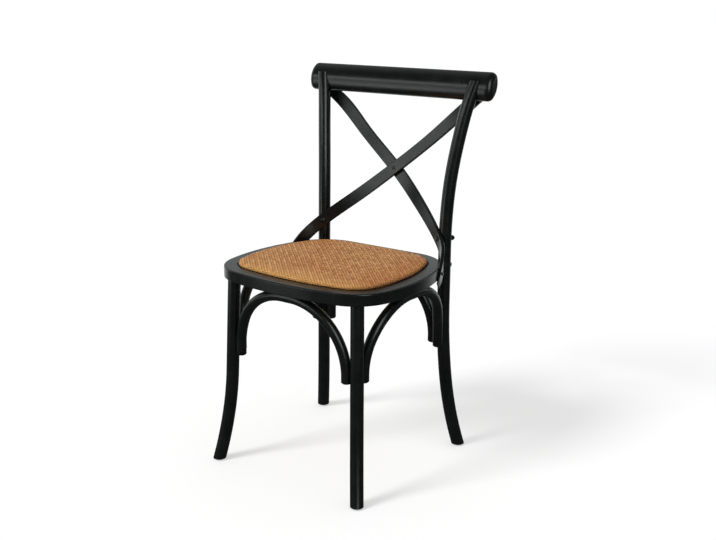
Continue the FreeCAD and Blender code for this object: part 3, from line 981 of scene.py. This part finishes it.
@dataclass
class Studio:
    """White sweep, soft daylight from the front left, and the camera.

    The sweep stands behind the chair, and gloss mirrors it there. It fades over sweep_edge to the side and
    over sweep_top upwards. Its image on the floor fades over floor_edge, and over flag toward +X. The floor
    looks white because floor_lift is added to the share floor_seen of the light on it. Gloss meets the low
    panel on the floor, in directions reckoned from eye_height. Lengths are in metres and angles in degrees.
    """

    camera_place: tuple[float, float, float] = (1.3558, -1.7921, 1.0557)
    camera_turn: float = 36.32
    camera_down: float = 15.36
    camera_roll: float = 0.12
    lens: float = 51.597
    sensor: float = 36.0
    key_rise: float = 38.5
    key_turn: float = 26.0
    key_spread: float = 18.0
    key_strength: float = 1.9
    sky_strength: float = 0.55
    room_level: float = 0.07
    panels: tuple[SoftBox, ...] = (
        SoftBox(turn=-25.0, half_width=25.0, low=13.0, high=18.5, strength=5.0, soft=5.0),
        SoftBox(turn=-37.0, half_width=9.0, low=-4.0, high=7.0, strength=1.5, soft=3.0),
        SoftBox(turn=58.0, half_width=14.0, low=4.0, high=42.0, strength=4.0),
        SoftBox(turn=-85.0, half_width=22.0, low=0.0, high=32.0, strength=0.4),
    )
    low_panel: SoftBox = SoftBox(turn=-36.0, half_width=11.0, low=-20.0, high=-3.0, strength=2.6, soft=5.0)
    eye_height: float = 0.83
    sweep_toward: tuple[float, float] = (-0.5, 0.87)
    sweep_edge: Span = (-0.1, 0.5)
    sweep_top: Span = (3.0, 14.0)
    sweep_fade: float = 0.6
    floor_edge: Span = (0.3, 1.3)
    flag: Span = (0.3, 1.1)
    floor_white: float = 0.8
    floor_seen: float = 0.64
    floor_lift: float = 0.44
    floor_half: float = 30.0
    floor_drop: float = 0.0004
    tint: Colour = (0.93, 1.0, 0.985)

    def camera(self) -> None:
        """Place the camera."""
        turn, down, roll = (math.radians(a) for a in (self.camera_turn, self.camera_down, self.camera_roll))
        ahead = Vector((-math.sin(turn) * math.cos(down), math.cos(turn) * math.cos(down), -math.sin(down)))
        right = Vector((math.cos(turn), math.sin(turn), 0.0))
        above = right.cross(ahead)
        tilted = right * math.cos(roll) + above * math.sin(roll)
        above = above * math.cos(roll) - right * math.sin(roll)
        data = bpy.data.cameras.new("camera")
        data.sensor_width = self.sensor
        data.sensor_fit = "HORIZONTAL"
        data.lens = self.lens
        camera = bpy.data.objects.new("camera", data)
        axes = Matrix((tilted, above, -ahead)).transposed()
        camera.matrix_world = Matrix.Translation(self.camera_place) @ axes.to_4x4()
        bpy.context.scene.collection.objects.link(camera)
        bpy.context.scene.camera = camera

    def lamps(self) -> None:
        """Hang the soft key light."""
        data = bpy.data.lights.new("key", "SUN")
        data.energy = self.key_strength
        data.angle = math.radians(self.key_spread)
        key = bpy.data.objects.new("key", data)
        rise, turn = math.radians(self.key_rise), math.radians(self.key_turn)
        toward = Vector((-math.sin(turn) * math.cos(rise), -math.cos(turn) * math.cos(rise), math.sin(rise)))
        key.matrix_world = toward.to_track_quat("Z", "Y").to_matrix().to_4x4()
        key.visible_glossy = False
        bpy.context.scene.collection.objects.link(key)

    def _toward_sweep(self, x: Signal, y: Signal) -> Signal:
        """How far a place or direction lies toward the white sweep."""
        return y * self.sweep_toward[1] + x * self.sweep_toward[0]

    def _room(self, sweep: Signal) -> Signal:
        """Brightness of the room, from its dim part to the white sweep."""
        return self.room_level + (1.0 - self.room_level) * sweep

    def sky(self) -> None:
        """White sweep behind the chair and a dim room in front of it, for what the lacquer mirrors."""
        world = bpy.data.worlds.new("studio")
        bpy.context.scene.world = world
        shader = Shader(world)
        seen, mirrored = shader.rays()
        x, y, z = shader.direction()
        turn = shader.degrees("ARCTAN2", x, 0.0 - y)
        rise = shader.degrees("ARCSINE", z)
        behind = self._toward_sweep(x, y).ease(*self.sweep_edge)
        room = self._room(behind * (1.0 - self.sweep_fade * rise.ease(*self.sweep_top)))
        for panel in self.panels:
            room = room + panel.level(turn, rise)
        level = seen + mirrored * room + (1.0 - seen) * (1.0 - mirrored) * self.sky_strength
        hue = shader.mix(mirrored, (1.0, 1.0, 1.0), self.tint)
        light = shader.node("ShaderNodeBackground", {}, {"Color": hue, "Strength": level})
        shader.node("ShaderNodeOutputWorld", {}, {0: light.outputs[0]})

    def _floor_finish(self) -> bpy.types.Material:
        """Make the floor's material: white in the picture, and as bright as the room where gloss mirrors it.

        Returns:
            The finished material.
        """
        shader = Shader.named("studio_floor")
        x, y, _ = shader.place()
        turn = shader.degrees("ARCTAN2", x, 0.0 - y)
        rise = shader.degrees("ARCTAN2", -self.eye_height, shader.reach(x, y))
        behind = self._toward_sweep(x, y).ease(*self.floor_edge) * (1.0 - x.ease(*self.flag))
        level = self._room(behind) + self.low_panel.level(turn, rise)
        body = shader.node("ShaderNodeBsdfDiffuse", {}, {"Color": (self.floor_white,) * 3})
        pale = shader.node("ShaderNodeBsdfDiffuse", {}, {"Color": (self.floor_seen,) * 3})
        glow = shader.node("ShaderNodeEmission", {}, {"Color": (1.0, 1.0, 1.0), "Strength": self.floor_lift})
        both = shader.node("ShaderNodeAddShader", {}, {0: pale.outputs[0], 1: glow.outputs[0]})
        dim = shader.node("ShaderNodeEmission", {}, {"Color": shader.tinted(level, self.tint)})
        seen, mirrored = shader.rays()
        lit = shader.node("ShaderNodeMixShader", {}, {0: seen, 1: body.outputs[0], 2: both.outputs[0]})
        mixed = shader.node("ShaderNodeMixShader", {}, {0: mirrored, 1: lit.outputs[0], 2: dim.outputs[0]})
        shader.node("ShaderNodeOutputMaterial", {}, {0: mixed.outputs[0]})
        return shader.owner

    def floor(self) -> bpy.types.Object:
        """Lay the white floor, which keeps the chair's soft shadow.

        Returns:
            The floor.
        """
        sheet = bmesh.new()
        bmesh.ops.create_grid(sheet, x_segments=1, y_segments=1, size=self.floor_half,
                              matrix=Matrix.Translation((0.0, 0.0, -self.floor_drop)))
        mesh = bpy.data.meshes.new("studio_floor")
        sheet.to_mesh(mesh)
        sheet.free()
        mesh.materials.append(self._floor_finish())
        floor = bpy.data.objects.new("studio_floor", mesh)
        bpy.context.scene.collection.objects.link(floor)
        return floor

    def build(self) -> None:
        """Set up the whole studio."""
        self.floor()
        self.sky()
        self.lamps()
        self.camera()
        bpy.context.scene.view_settings.view_transform = "Standard"


def main() -> None:
    """Build the chair's looks in order and report each piece."""
    logging.basicConfig(level=logging.INFO, format="%(message)s")
    for name in ChairFrame().dress():
        LOG.info("dressed %s", name)
    pad = WovenPad().build()
    LOG.info("built %s with %d faces", pad.name, len(pad.data.polygons))
    Studio().build()
    LOG.info("set up the studio")


if __name__ == "__main__":
    main()
